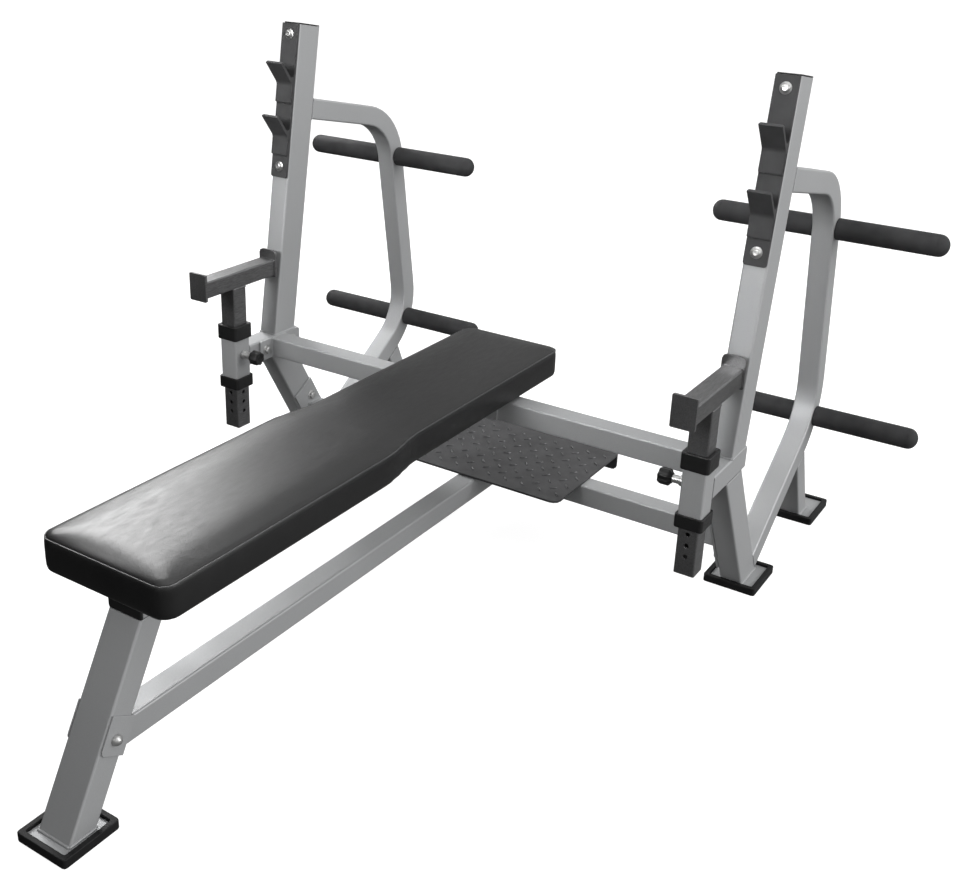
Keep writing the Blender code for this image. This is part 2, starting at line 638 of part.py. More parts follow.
def front_leg():
    front_foot = Vector((0, FRONT_LEG_FOOT_Y, FOOT_TOP))
    foot_middle = front_foot + FRONT_LEG_REAR * TUBE / 2
    top = to_plane(foot_middle, FRONT_LEG_UP, level(FRAME_LOW))
    made = tube("front_leg", [foot_middle, top], X_AXIS, TUBE_DEEP, TUBE,
                start=level(FOOT_TOP), end=level(FRAME_LOW - GAP))
    bolt_at = to_plane(foot_middle, FRONT_LEG_UP, level(SPINE_BOLT_Z))
    combine(made, cylinder_cutter("leg_bolt_hole", bolt_at, X_AXIS, 0.0053, 0.1), "DIFFERENCE")

    half = TUBE_DEEP / 2 + GAP
    outer = half + SADDLE_THICK
    low_front, high_front = (to_plane(front_foot, FRONT_LEG_UP, level(z))
                             for z in (SADDLE_LOW, SADDLE_HIGH))
    back = FRONT_LEG_REAR * (TUBE + GAP + SADDLE_THICK)
    setback = FRONT_LEG_REAR * SADDLE_SETBACK
    corners = (low_front + setback, low_front + back, high_front + back, high_front + setback)
    outline = filleted([Vector((p.y, p.z)) for p in corners], [SADDLE_CORNER, 0, 0, 0], 4)
    saddle = slab("spine_saddle", outline, "X", -outer, outer, SILVER)
    passage = [Vector(p) for p in ((-half, -TUBE), (half, -TUBE), (half, TUBE / 2 + GAP),
                                   (-half, TUBE / 2 + GAP))]
    reach = FRONT_LEG_UP * TUBE
    middles = [low_front - reach + FRONT_LEG_REAR * TUBE / 2, high_front + reach + FRONT_LEG_REAR * TUBE / 2]
    combine(saddle, bar("saddle_passage", passage, middles, X_AXIS, SILVER), "DIFFERENCE")
    combine(saddle, cylinder_cutter("saddle_bolt_hole", bolt_at, X_AXIS, 0.0053, 0.12), "DIFFERENCE")

    head = outer + GAP
    dome = [(head + 0.011 * math.sin(a), 0.0105 * math.cos(a)) for a in (0, math.pi / 6, math.pi / 3)]
    profile = [(head + 0.011, 0)] + dome[::-1] + [(head, 0.005)]
    profile += [(-x, r) for x, r in profile[::-1]]
    turned("spine_bolt", profile, (bolt_at.y, bolt_at.z), 1, ZINC, sides=12)


# ---------------------------------------------------------------- bench


def pad_outline(inset):
    """Plan of the pad: a wide seat part that steps in through two shoulders to the head part."""
    start, end = PAD_SHOULDER
    shoulder = []
    for step in range(7):
        share = step / 6
        ease = share * share * (3 - 2 * share)
        half = PAD_WIDE + (PAD_NARROW - PAD_WIDE) * ease - inset
        shoulder.append((half, start + (end - start) * share))
    front, rear = PAD_FRONT_Y + inset, PAD_REAR_Y - inset
    right = [(PAD_WIDE - inset, front)] + shoulder + [(PAD_NARROW - inset, rear)]
    left = [(-x, y) for x, y in right[::-1]]
    points = [Vector(p) for p in right + left]
    corner = PAD_CORNER - min(inset, 0.020)
    rounded = {0, len(right) - 1, len(right), len(points) - 1}
    radii = [corner if i in rounded else 0 for i in range(len(points))]
    return filleted(points, radii, 4)


def pad():
    recess_top = PAD_BOTTOM - 0.0022 + BOARD_THICK + GAP
    recess = BOARD_INSET - GAP
    levels = ((recess, recess_top), (recess, PAD_BOTTOM), (0, PAD_BOTTOM), (0, PAD_TOP - 0.012),
              (0.0035, PAD_TOP - 0.0035), (0.012, PAD_TOP))
    loops = [[Vector((p.x, p.y, z)) for p in pad_outline(inset)] for inset, z in levels]
    skin("pad_cushion", loops, VINYL)
    slab("pad_board", pad_outline(BOARD_INSET), "Z", recess_top - GAP - BOARD_THICK, recess_top - GAP,
         BOARD)


def pad_rail():
    """The tube under the pad, with two welded cross plates and its flange at the crossbar."""
    z = FRAME_TOP - TUBE / 2
    rear_y = UPPER_BAR_Y - GAP
    ends = [Vector((0, RAIL_FRONT_Y, z)), Vector((0, rear_y - FLANGE / 2, z))]
    made = tube("pad_rail", ends, X_AXIS, TUBE_DEEP, TUBE)
    outline = box_outline(-RAIL_FLANGE_X, RAIL_FLANGE_X, FRAME_LOW + 0.0005, FRAME_TOP - 0.0005, 0.006, 2)
    combine(made, slab("rail_flange", outline, "Y", rear_y - FLANGE, rear_y, SILVER), "UNION")
    half, width, thick = CROSS_PLATE
    for i, y in enumerate(CROSS_PLATE_YS):
        outline = box_outline(-half, half, y - width / 2, y + width / 2, 0.006, 2)
        plate = slab(f"cross_plate_{i}", outline, "Z", FRAME_TOP - 0.0005, FRAME_TOP + thick, SILVER)
        combine(made, plate, "UNION")
    cap_face = [Vector((0, RAIL_FRONT_Y - GAP - CAP_THICK, z)), Vector((0, RAIL_FRONT_Y - GAP, z))]
    bar("rail_cap", rectangle(TUBE_DEEP, TUBE), cap_face, X_AXIS, PLASTIC)


# ---------------------------------------------------------------- assembly

for side_sign in (-1, 1):
    upright(side_sign)
    arm(side_sign)
    leg(side_sign)
    hoop(side_sign)
    rear_leg(side_sign)
    foot(f"front_foot_{side_name(side_sign)}", mirrored_box(SIDE_FRONT_BOOT, side_sign))
    foot(f"rear_foot_{side_name(side_sign)}", mirrored_box(SIDE_REAR_BOOT, side_sign))
    peg(side_sign, "upper", PEG_UPPER)
    peg(side_sign, "lower", PEG_LOWER)
    rack_plate(side_sign)
    stand(side_sign)

upper_crossbar()
lower_crossbar()
platform()
spine()
front_leg()
foot("bench_foot", FRONT_BOOT)
pad()
pad_rail()
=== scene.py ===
"""Finished look of the flat olympic bench press.

X runs across the bench, +Y from the foot end to the rack, +Z up, in metres. Each CAD node is either
carried over as a refined copy with rolled edges, or replaced by a piece modelled here.
"""

import json
import math

import bmesh
import bpy
from mathutils import Matrix, Vector, noise
from mathutils.bvhtree import BVHTree


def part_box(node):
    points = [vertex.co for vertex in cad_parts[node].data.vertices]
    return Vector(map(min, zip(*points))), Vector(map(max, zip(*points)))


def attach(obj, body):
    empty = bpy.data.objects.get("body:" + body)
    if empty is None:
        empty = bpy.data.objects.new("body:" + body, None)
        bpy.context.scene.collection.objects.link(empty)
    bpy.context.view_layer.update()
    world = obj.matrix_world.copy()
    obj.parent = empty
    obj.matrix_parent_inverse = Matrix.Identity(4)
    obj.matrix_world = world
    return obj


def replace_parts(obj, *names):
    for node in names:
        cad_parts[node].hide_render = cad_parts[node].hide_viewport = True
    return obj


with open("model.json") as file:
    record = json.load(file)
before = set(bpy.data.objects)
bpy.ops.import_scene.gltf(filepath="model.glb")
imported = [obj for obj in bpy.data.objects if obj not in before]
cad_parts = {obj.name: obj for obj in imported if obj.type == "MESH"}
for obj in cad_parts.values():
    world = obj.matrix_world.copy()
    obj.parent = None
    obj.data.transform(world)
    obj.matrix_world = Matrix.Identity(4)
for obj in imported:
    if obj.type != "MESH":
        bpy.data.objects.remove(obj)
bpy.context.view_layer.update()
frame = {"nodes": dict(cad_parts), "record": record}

SIDES = (("left", -1), ("right", 1))
X_AXIS, Y_AXIS, Z_AXIS = Vector((1, 0, 0)), Vector((0, 1, 0)), Vector((0, 0, 1))
SLOTS = {part["node"]: part["material_slot"] for part in frame["record"]["subparts"]}

TUBE = 0.0508                           # side of the square frame tube
DEEP = 0.0762                           # long side of the deep frame tube
HALF = TUBE / 2
SIDE_X = 0.6096                         # middle plane of each side frame
UPRIGHT_LEAN = math.radians(9)
LEG_LEAN = math.radians(30)
REAR_LEG_LEAN = math.radians(25)
FRONT_LEG_LEAN = math.radians(29.2)
ARM_LOW, ARM_TOP = (corner.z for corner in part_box("stand_arm_left"))
PLATE_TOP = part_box("front_leg")[0].z    # where the legs stand on their foot plates

# ---------------------------------------------------------------- materials


class Shader:
    """A material under construction, with short calls for its nodes."""

    def __init__(self, name, colour, roughness, metallic=0.0, **sockets):
        self.material = bpy.data.materials.new(name)
        self.material.use_nodes = True
        self.tree = self.material.node_tree
        self.base = self.tree.nodes["Principled BSDF"]
        self.set("Base Color", (*colour, 1))
        self.set("Roughness", roughness)
        self.set("Metallic", metallic)
        for socket, value in sockets.items():
            self.set(socket.replace("_", " ").title().replace("Ior", "IOR"), value)
        self.colour = colour
        self.place = self.node("ShaderNodeTexCoord").outputs["Object"]
        self.height = None

    def set(self, socket, value):
        self.base.inputs[socket].default_value = value

    def node(self, kind, **settings):
        made = self.tree.nodes.new(kind)
        for key, value in settings.items():
            setattr(made, key, value)
        return made

    def link(self, source, target):
        self.tree.links.new(source, target)

    def stretched(self, scale):
        """Object coordinates stretched along the axes, for grain that runs one way."""
        mapping = self.node("ShaderNodeMapping")
        mapping.inputs["Scale"].default_value = scale
        self.link(self.place, mapping.inputs["Vector"])
        return mapping.outputs["Vector"]

    def noise(self, scale, detail=3.0, place=None, rough=0.5):
        made = self.node("ShaderNodeTexNoise")
        made.inputs["Scale"].default_value = scale
        made.inputs["Detail"].default_value = detail
        made.inputs["Roughness"].default_value = rough
        self.link(place or self.place, made.inputs["Vector"])
        return made.outputs["Fac"]

    def cells(self, scale, feature="DISTANCE_TO_EDGE"):
        made = self.node("ShaderNodeTexVoronoi", feature=feature)
        made.inputs["Scale"].default_value = scale
        self.link(self.place, made.inputs["Vector"])
        return made.outputs["Distance"]

    def spread(self, value, low, high):
        """Remap a 0..1 value, around its middle range, to low..high."""
        made = self.node("ShaderNodeMapRange")
        made.inputs["From Min"].default_value = 0.25
        made.inputs["From Max"].default_value = 0.75
        made.inputs["To Min"].default_value = low
        made.inputs["To Max"].default_value = high
        self.link(value, made.inputs["Value"])
        return made.outputs["Result"]

    def tint(self, value, low, high):
        """Scale the base colour by low..high as the value goes from dark to light."""
        ramp = self.node("ShaderNodeValToRGB")
        ramp.color_ramp.elements[0].position = 0.3
        ramp.color_ramp.elements[1].position = 0.7
        ramp.color_ramp.elements[0].color = (*[c * low for c in self.colour], 1)
        ramp.color_ramp.elements[1].color = (*[c * high for c in self.colour], 1)
        self.link(value, ramp.inputs["Fac"])
        self.link(ramp.outputs["Color"], self.base.inputs["Base Color"])

    def roughness(self, value, low, high):
        self.link(self.spread(value, low, high), self.base.inputs["Roughness"])

    def bump(self, value, distance, strength=1.0):
        """Add one layer of relief; later layers sit on top of earlier ones."""
        made = self.node("ShaderNodeBump")
        made.inputs["Distance"].default_value = distance
        made.inputs["Strength"].default_value = strength
        self.link(value, made.inputs["Height"])
        if self.height:
            self.link(self.height, made.inputs["Normal"])
        self.height = made.outputs["Normal"]
        self.link(self.height, self.base.inputs["Normal"])


def powder_coat():
    look = Shader("silver_powder_coat", (0.37, 0.375, 0.38), 0.52, 0.40)
    look.tint(look.noise(1900, 2), 0.90, 1.10)
    look.roughness(look.noise(7, 3), 0.48, 0.57)
    look.bump(look.noise(420, 2), 0.00018, 0.25)
    return look.material


def dark_steel():
    look = Shader("dark_satin_steel", (0.165, 0.165, 0.167), 0.34, 0.85)
    grain = look.noise(60, 4, look.stretched((14, 1, 14)))
    look.tint(grain, 0.72, 1.28)
    look.roughness(look.noise(14, 4), 0.26, 0.44)
    look.bump(grain, 0.00006, 0.3)
    return look.material


def rack_coat():
    look = Shader("textured_dark_coat", (0.046, 0.046, 0.0473), 0.66, specular_ior_level=0.3)
    look.tint(look.noise(25, 4), 0.85, 1.15)
    look.bump(look.noise(900, 3), 0.00015, 0.35)
    return look.material


def plain_steel():
    look = Shader("plain_steel", (0.42, 0.42, 0.42), 0.3, 1.0)
    look.roughness(look.noise(80, 3, look.stretched((1, 12, 12))), 0.22, 0.4)
    return look.material


def zinc():
    look = Shader("zinc_plate", (0.46, 0.46, 0.455), 0.34, 0.85)
    look.tint(look.noise(160, 3), 0.9, 1.1)
    look.roughness(look.noise(300, 2), 0.28, 0.42)
    return look.material


def tread_coat():
    look = Shader("black_tread_plate", (0.062, 0.062, 0.064), 0.42, 0.35)
    look.tint(look.noise(18, 5), 0.8, 1.25)
    look.roughness(look.noise(40, 4), 0.34, 0.52)
    look.bump(look.noise(1100, 2), 0.0001, 0.3)
    return look.material


def boot_rubber():
    look = Shader("moulded_rubber", (0.008, 0.008, 0.0083), 0.55, specular_ior_level=0.2)
    look.tint(look.noise(40, 4), 0.75, 1.3)
    look.bump(look.noise(800, 3), 0.00015, 0.3)
    return look.material


def peg_rubber():
    look = Shader("matt_sleeve_rubber", (0.034, 0.034, 0.035), 0.7, specular_ior_level=0.12)
    look.tint(look.noise(30, 4), 0.85, 1.15)
    look.roughness(look.noise(120, 3), 0.6, 0.72)
    look.bump(look.noise(1500, 2), 0.0001, 0.3)
    return look.material


def nylon():
    look = Shader("black_nylon", (0.006, 0.006, 0.0062), 0.42, specular_ior_level=0.4)
    look.roughness(look.noise(90, 3), 0.36, 0.5)
    look.bump(look.noise(1300, 2), 0.00008, 0.3)
    return look.material


def vinyl():
    look = Shader("upholstery_vinyl", (0.004, 0.004, 0.0041), 0.36, specular_ior_level=0.48)
    look.tint(look.noise(10, 4), 0.85, 1.15)
    look.roughness(look.noise(34, 5, look.stretched((3, 0.8, 1))), 0.32, 0.42)
    look.bump(look.noise(16, 3, look.stretched((2.6, 0.5, 1))), 0.0005, 0.16)
    look.bump(look.cells(620), 0.00022, 0.4)
    look.bump(look.noise(2100, 2), 0.00008, 0.3)
    return look.material


# The piping's vinyl is paler than the cover's, a painted highlight along the ridge of the seam.
def piping_vinyl_painted_highlight():
    look = Shader("piping_vinyl_painted_highlight", (0.035, 0.035, 0.036), 0.3, specular_ior_level=0.6)
    look.tint(look.noise(60, 3), 0.8, 1.2)
    look.bump(look.noise(900, 2), 0.0001, 0.3)
    return look.material


def tread_wear_and_painted_highlight():
    """The raised marks of the tread plate, rubbed smoother than the plate; their paler colour is partly
    wear and partly a painted highlight.
    """
    look = Shader("tread_wear_and_painted_highlight", (0.085, 0.085, 0.087), 0.28, 0.6)
    look.tint(look.noise(70, 3), 0.85, 1.2)
    return look.material


def board_stain():
    look = Shader("stained_plywood", (0.022, 0.020, 0.018), 0.75)
    look.tint(look.noise(40, 5, look.stretched((12, 1, 12))), 0.6, 1.4)
    return look.material


LOOKS = {
    "silver_frame": powder_coat(), "catcher_steel": dark_steel(), "rack_steel": rack_coat(),
    "bar_steel": plain_steel(), "zinc": zinc(), "chequer_plate": tread_coat(), "rubber": boot_rubber(),
    "peg_rubber": peg_rubber(), "black_plastic": nylon(), "vinyl": vinyl(), "board": board_stain(),
}
# The piping's paler vinyl is a painted highlight.
PIPING_PAINTED_HIGHLIGHT = piping_vinyl_painted_highlight()
# The tread marks' paler colour is partly wear and partly a painted highlight.
TREAD_WEAR_AND_PAINTED_HIGHLIGHT = tread_wear_and_painted_highlight()

# ---------------------------------------------------------------- pieces and how they ride


def body_for(node):
    """The body that a CAD node is on."""
    return next(body for body, nodes in frame["record"]["behaviour"]["bodies"].items() if node in nodes)


def dress(piece, slot, body, look=None):
    """Give a piece its body and its material, which is its slot's unless another is named."""
    piece.data.materials.clear()
    piece.data.materials.append(look or LOOKS[slot])
    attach(piece, body)
    return piece


def stand_for(piece, *nodes):
    """Dress a piece as the CAD nodes that it replaces."""
    dress(piece, SLOTS[nodes[0]], body_for(nodes[0]))
    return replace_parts(piece, *nodes)


def new_object(name, bm, smooth=35):
    """Make an object of a BMesh, shaded smooth up to an angle in degrees."""
    bmesh.ops.recalc_face_normals(bm, faces=bm.faces)
    mesh = bpy.data.meshes.new(name)
    bm.to_mesh(mesh)
    bm.free()
    mesh.shade_smooth()
    mesh.set_sharp_from_angle(angle=math.radians(smooth))
    made = bpy.data.objects.new(name, mesh)
    bpy.context.collection.objects.link(made)
    return made


def roll_edges(piece, width, segments=2, angle=50):
    """Round off sharp edges, then keep the flats shading flat."""
    bevel = piece.modifiers.new("rolled_edges", "BEVEL")
    bevel.width = width
    bevel.segments = segments
    bevel.limit_method = "ANGLE"
    bevel.angle_limit = math.radians(angle)
    bevel.harden_normals = False
    shading = piece.modifiers.new("flat_shading", "WEIGHTED_NORMAL")
    shading.keep_sharp = True
    return piece


SAME_POINT = 0.000002                   # corners closer than this are one
SAME_FACE = math.radians(0.5)           # facets flatter than this to each other are one


def refined(node, width, segments=2, smooth=40):
    """A copy of a CAD node with clean faces and rolled edges, which replaces it."""
    bm = bmesh.new()
    bm.from_mesh(frame["nodes"][node].data)
    bmesh.ops.remove_doubles(bm, verts=bm.verts, dist=SAME_POINT)
    bmesh.ops.dissolve_limit(bm, angle_limit=SAME_FACE, verts=bm.verts, edges=bm.edges)
    piece = new_object(f"{node}_piece", bm, smooth)
    return roll_edges(stand_for(piece, node), width, segments)


def skin(bm, loops, ring=False):
    """Bridge loops of equally many points; open rows get a cap at each end."""
    rows = [[bm.verts.new(p) for p in loop] for loop in loops]
    pairs = list(zip(rows, rows[1:]))
    if ring:
        pairs.append((rows[-1], rows[0]))
    else:
        bm.faces.new(rows[0][::-1])
        bm.faces.new(rows[-1])
    for first, second in pairs:
        for i in range(len(first)):
            j = (i + 1) % len(first)
            bm.faces.new((first[i], first[j], second[j], second[i]))


def axes_for(direction):
    """Two unit vectors square to a direction."""
    side = direction.cross(X_AXIS if abs(direction.x) < 0.9 else Z_AXIS).normalized()
    return side, direction.cross(side).normalized()


def turned(bm, base, direction, profile, sides=32, lobes=0, lobe_depth=0.0):
    """Turn a profile of (distance, radius) about an axis; lobes make a fluted grip.

    A third entry, the number of facets, makes that ring a polygon, such as a hexagon head.
    """
    side, other = axes_for(direction)
    loops = []
    for distance, radius, *facets in profile:
        loop = []
        for i in range(sides):
            angle = 2 * math.pi * i / sides
            reach = radius * (1 - lobe_depth * (0.5 - 0.5 * math.cos(lobes * angle)))
            if facets:
                half = math.pi / facets[0]
                reach *= math.cos(half) / math.cos(angle % (2 * half) - half)
            spoke = side * math.cos(angle) + other * math.sin(angle)
            loop.append(base + direction * distance + spoke * reach)
        loops.append(loop)
    skin(bm, loops)


def swept(bm, points, radii, sides=8, ring=False):
    """A round tube along points, with a radius at each of them."""
    loops = []
    count = len(points)
    for i, point in enumerate(points):
        before = points[i - 1] if ring or i else point
        after = points[(i + 1) % count] if ring or i < count - 1 else point
        side, other = axes_for((after - before).normalized())
        angles = [2 * math.pi * j / sides for j in range(sides)]
        loops.append([point + (side * math.cos(a) + other * math.sin(a)) * radii[i] for a in angles])
    skin(bm, loops, ring)


BEAD_STEP = 0.0011                      # distance between a bead's rings
BEAD_PUDDLE = 0.0034                    # pitch of its overlapping puddles
BEAD_WAVER = 0.0005                     # how far it strays from its line
BEAD_TAPER = 0.004                      # length over which its ends thin out


def bead(bm, start, end, radius=0.0024):
    """One weld run between two points: overlapping puddles, a little uneven."""
    length = (end - start).length
    count = max(4, round(length / BEAD_STEP))
    points, radii = [], []
    for i in range(count + 1):
        share = i / count
        along = start.lerp(end, share)
        waver = noise.noise(along * 140) * BEAD_WAVER
        ripple = 0.86 + 0.14 * abs(math.sin(math.pi * share * length / BEAD_PUDDLE))
        taper = min(1.0, 0.55 + min(share, 1 - share) * length / BEAD_TAPER)
        points.append(along + Vector((waver, waver, waver)))
        radii.append(radius * ripple * taper)
    swept(bm, points, radii)


def beads(bm, corners, radius=0.0024):
    """Weld runs all round a closed outline."""
    for i, corner in enumerate(corners):
        bead(bm, corner, corners[(i + 1) % len(corners)], radius)


WASHER_THICK = 0.0016
HEXAGON = 6                             # facets of a hexagon


def washer(bm, base, direction, radius=0.0122):
    """A washer with a broken edge, sunk a little into the face that it lies on."""
    sink, edge = 0.0004, 0.0004
    top = WASHER_THICK + edge
    turned(bm, base - direction * sink, direction,
           [(0, radius), (WASHER_THICK, radius), (top, radius - 0.0005), (top, radius * 0.4)], 28)


def button_bolt(bm, base, direction, radius=0.0092):
    """A washer under a domed head with a hexagon socket."""
    washer(bm, base, direction)
    rim, rise, socket = 0.0008, 0.0052, 0.0030
    profile = [(0, radius)]
    profile += [(rim + (rise - rim) * math.sin(a), radius * (0.48 + 0.52 * math.cos(a)))
                for a in [k / 6 * math.pi / 2 for k in range(7)]]
    profile += [(rise - 0.0002, radius * 0.44, HEXAGON), (rise - socket, radius * 0.42, HEXAGON),
                (rise - socket - 0.0002, radius * 0.04)]
    turned(bm, base + direction * WASHER_THICK, direction, profile, 24)


def hexagon_bolt(bm, base, direction, radius=0.0098):
    """A washer under a chamfered hexagon head."""
    washer(bm, base, direction, 0.0128)
    profile = [(0, radius * 0.9), (0.0006, radius, HEXAGON), (0.0056, radius, HEXAGON),
               (0.0068, radius * 0.84), (0.0070, radius * 0.05)]
    turned(bm, base + direction * WASHER_THICK, direction, profile, 24)


def dome(radius, depth, steps, at=0.0, least=0.06):
    """The rounded end of a turned profile, rising from a distance along its axis."""
    return [(at + depth * math.sin(a), max(radius * math.cos(a), radius * least))
            for a in [i / steps * math.pi / 2 for i in range(steps + 1)]]


# ---------------------------------------------------------------- refined frame tubes and plates

for side, _ in SIDES:
    for stem in ("upright", "stand_arm", "frame_leg", "rear_leg", "rear_hoop", "stand_sleeve"):
        refined(f"{stem}_{side}", 0.0008)
    refined(f"upright_cap_{side}", 0.0012, 3)
    refined(f"rack_plate_{side}", 0.0009)
    refined(f"spotter_catcher_{side}", 0.0008)
    for level_name in ("upper", "lower"):
        refined(f"collar_{level_name}_{side}", 0.0016, 3)
        refined(f"peg_bar_{level_name}_{side}", 0.0006)
    for place in ("front", "rear"):
        refined(f"{place}_foot_{side}_boot", 0.0015, 3)
        refined(f"{place}_foot_{side}_plate", 0.0008)
    refined(f"pin_barrel_{side}", 0.0008)
for node in ("upper_crossbar", "lower_crossbar", "front_leg", "spine_tube", "spine_saddle", "pad_rail"):
    refined(node, 0.0008)
refined("bench_foot_boot", 0.0015, 3)
refined("bench_foot_plate", 0.0008)
refined("rail_cap", 0.0015, 3)
refined("pad_board", 0.001)
refined("spine_bolt", 0.0006)
refined("platform", 0.0010)

# ---------------------------------------------------------------- plate pegs

PEG_DOME = 0.022                        # depth of a sleeve's rounded end


def peg_sleeve(node, out):
    """A rubber sleeve that runs outwards along X, with a groove before its rounded end."""
    low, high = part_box(node)
    centre = (low + high) / 2
    radius = (high.z - low.z) / 2
    length = high.x - low.x
    groove = length - PEG_DOME
    profile = [(0.0, radius * 0.93), (0.0012, radius * 0.985), (0.003, radius)]
    profile += [(groove - 0.0012, radius), (groove - 0.0004, radius * 0.985), (groove, radius * 0.99)]
    profile += dome(radius * 0.995, PEG_DOME, 10, groove + 0.0006)[:-1]
    profile.append((length, radius * 0.02))
    mouth = low.x if out > 0 else high.x
    bm = bmesh.new()
    turned(bm, Vector((mouth, centre.y, centre.z)), Vector((out, 0, 0)), profile, 48)
    stand_for(new_object(f"{node}_piece", bm, 60), node)


for side, sign in SIDES:
    for level_name in ("upper", "lower"):
        for place, out in (("inner", -sign), ("outer", sign)):
            peg_sleeve(f"peg_sleeve_{level_name}_{place}_{side}", out)

# ---------------------------------------------------------------- welds and bolts


def finish_piece(name, bm, slot, body="frame", smooth=50, look=None):
    """Make a piece that stands for no CAD node and dress it."""
    return dress(new_object(name, bm, smooth), slot, body, look)


def lean(angle, back=1):
    """Unit vectors up a leaning tube and from its front face to its rear face."""
    return (Vector((0, back * math.sin(angle), math.cos(angle))),
            Vector((0, math.cos(angle), -back * math.sin(angle))))


PROUD = 0.0004                          # how far a bead's middle stands off the metal
BEAD_END = 0.002                        # how far a bead across a tube stops short of its corners
FLANK = 0.985                           # share of a tube's half width where the beads up its sides run

UPRIGHT_UP, UPRIGHT_REAR = lean(UPRIGHT_LEAN)
LEG_UP, LEG_REAR = lean(LEG_LEAN, -1)
FRONT_LEG_UP, FRONT_LEG_REAR = lean(FRONT_LEG_LEAN)

# The bent hoop's middle line as (y, z): start in the upright, first bend, last bend, and end in the leg.
HOOP_START, HOOP_FIRST_BEND = (0.4545, 0.9423), (0.7968, 0.8738)
HOOP_LAST_BEND, HOOP_END = (0.8982, 0.2799), (0.5300, 0.0349)

# Crossbars where they meet their end flanges: front, underside and top.
FLANGE_X = 0.5778                       # inner face of the end flanges
CROSSBARS = ((0.2655, 0.3437, 0.3935), (0.4055, 0.1162, 0.1670))

# Rear ends of the pad rail and the spine: face of the flange, underside, top and half width.
BENCH_ENDS = ((0.2588, 0.3437, 0.3935, DEEP / 2), (0.3989, 0.1167, 0.1660, HALF))
SPINE_SIDES = (0.1166, 0.1662)          # underside and top of the spine at the saddle
SADDLE_WALL = 0.0036

CATCHER_HALF, CATCHER_LOW, CATCHER_TOP = 0.0222, 0.550, 0.591
CATCHER_ENDS = (0.0504, 0.2911)         # inner faces of the catcher's end plates
CATCHER_POST_Y, CATCHER_POST_HALF = 0.1635, 0.0215

RACK_TOP = (0.40384, 1.150)             # y and z of the rack plate's top, on the upright's front face
RACK_OUT = 0.0062                       # the rack plate's front face, off the upright
HOOK_BENDS = (-0.141, -0.267)           # along the upright from the rack plate's top
HOOK_LEG = 0.0455                       # length of a hook's welded leg below its bend
HOOK_HALF = 0.0243
RACK_BOLTS = (-0.025, -0.341)


def footprint(x, half, y_low, y_high, z):
    """The corners of a rectangle that lies level."""
    outline = ((-half, y_low), (half, y_low), (half, y_high), (-half, y_high))
    return [Vector((x + over, y, z)) for over, y in outline]


def standing(x, y, half, z_low, z_high):
    """The corners of a rectangle that faces along Y."""
    outline = ((-half, z_low), (half, z_low), (half, z_high), (-half, z_high))
    return [Vector((x + over, y, z)) for over, z in outline]


def bead_across(bm, centre, half, radius=0.0024):
    """A bead along X, across a tube's face."""
    reach = X_AXIS * (half - BEAD_END)
    bead(bm, centre - reach, centre + reach, radius)


def line_meets_plane(point, along, plane_point, normal):
    """Where a line through a point meets a plane."""
    return point + along * ((plane_point - point).dot(normal) / along.dot(normal))


def joint_edges(start, end, plane_point, normal):
    """Where the upper and the lower face of a tube from start to end meet a plane."""
    run = (end - start).normalized()
    above = X_AXIS.cross(run).normalized()
    return [line_meets_plane(start + above * rise, run, plane_point, normal) for rise in (HALF, -HALF)]


def hoop_welds(bm, x, upright_front, leg_front):
    """The beads round the hoop's two ends: at the upright's rear face and at the leg's rear face."""
    face = Vector((x, upright_front, ARM_TOP)) + UPRIGHT_REAR * DEEP
    edges = joint_edges(Vector((x, *HOOP_START)), Vector((x, *HOOP_FIRST_BEND)), face, UPRIGHT_REAR)
    for edge in edges:
        bead_across(bm, edge, HALF, 0.0026)
    for flank in (-HALF, HALF):
        bead(bm, *[edge + X_AXIS * flank * FLANK for edge in edges], 0.0018)

    face = Vector((x, leg_front, PLATE_TOP)) + LEG_REAR * DEEP
    for edge in joint_edges(Vector((x, *HOOP_LAST_BEND)), Vector((x, *HOOP_END)), face, LEG_REAR):
        if edge.z > PLATE_TOP:
            bead_across(bm, edge, HALF, 0.0026)


def side_welds(side, sign):
    """The beads of one side frame: the upright, the legs, the spotter sleeve and the hoop."""
    bm = bmesh.new()
    x = sign * SIDE_X
    upright_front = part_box(f"upright_{side}")[0].y
    front, rear = upright_front - PROUD, upright_front + DEEP / math.cos(UPRIGHT_LEAN) + PROUD
    beads(bm, footprint(x, HALF - 0.0006, front, rear, ARM_TOP + PROUD), 0.0026)

    leg_low, leg_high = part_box(f"frame_leg_{side}")
    leg_depth = DEEP / math.cos(LEG_LEAN)
    leg_front = leg_high.y - leg_depth
    beads(bm, footprint(x, HALF, leg_front, leg_high.y, PLATE_TOP + PROUD), 0.0028)
    for y in (leg_low.y, leg_low.y + leg_depth):
        bead_across(bm, Vector((x, y, ARM_LOW - PROUD)), HALF)

    rear_leg_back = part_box(f"rear_leg_{side}")[1].y
    rear_leg_front = rear_leg_back - TUBE / math.cos(REAR_LEG_LEAN)
    beads(bm, footprint(x, HALF, rear_leg_front, rear_leg_back, PLATE_TOP + PROUD), 0.0028)

    sleeve_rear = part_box(f"stand_sleeve_{side}")[1].y
    for z in (ARM_TOP, ARM_LOW):
        bead_across(bm, Vector((x, sleeve_rear + PROUD, z)), HALF)
    for flank in (-HALF, HALF):
        low_end = Vector((x + flank * FLANK, sleeve_rear, ARM_LOW + 0.003))
        bead(bm, low_end, Vector((low_end.x, sleeve_rear, ARM_TOP - 0.003)), 0.0018)

    hoop_welds(bm, x, upright_front, leg_front)
    finish_piece(f"frame_welds_{side}", bm, "silver_frame")


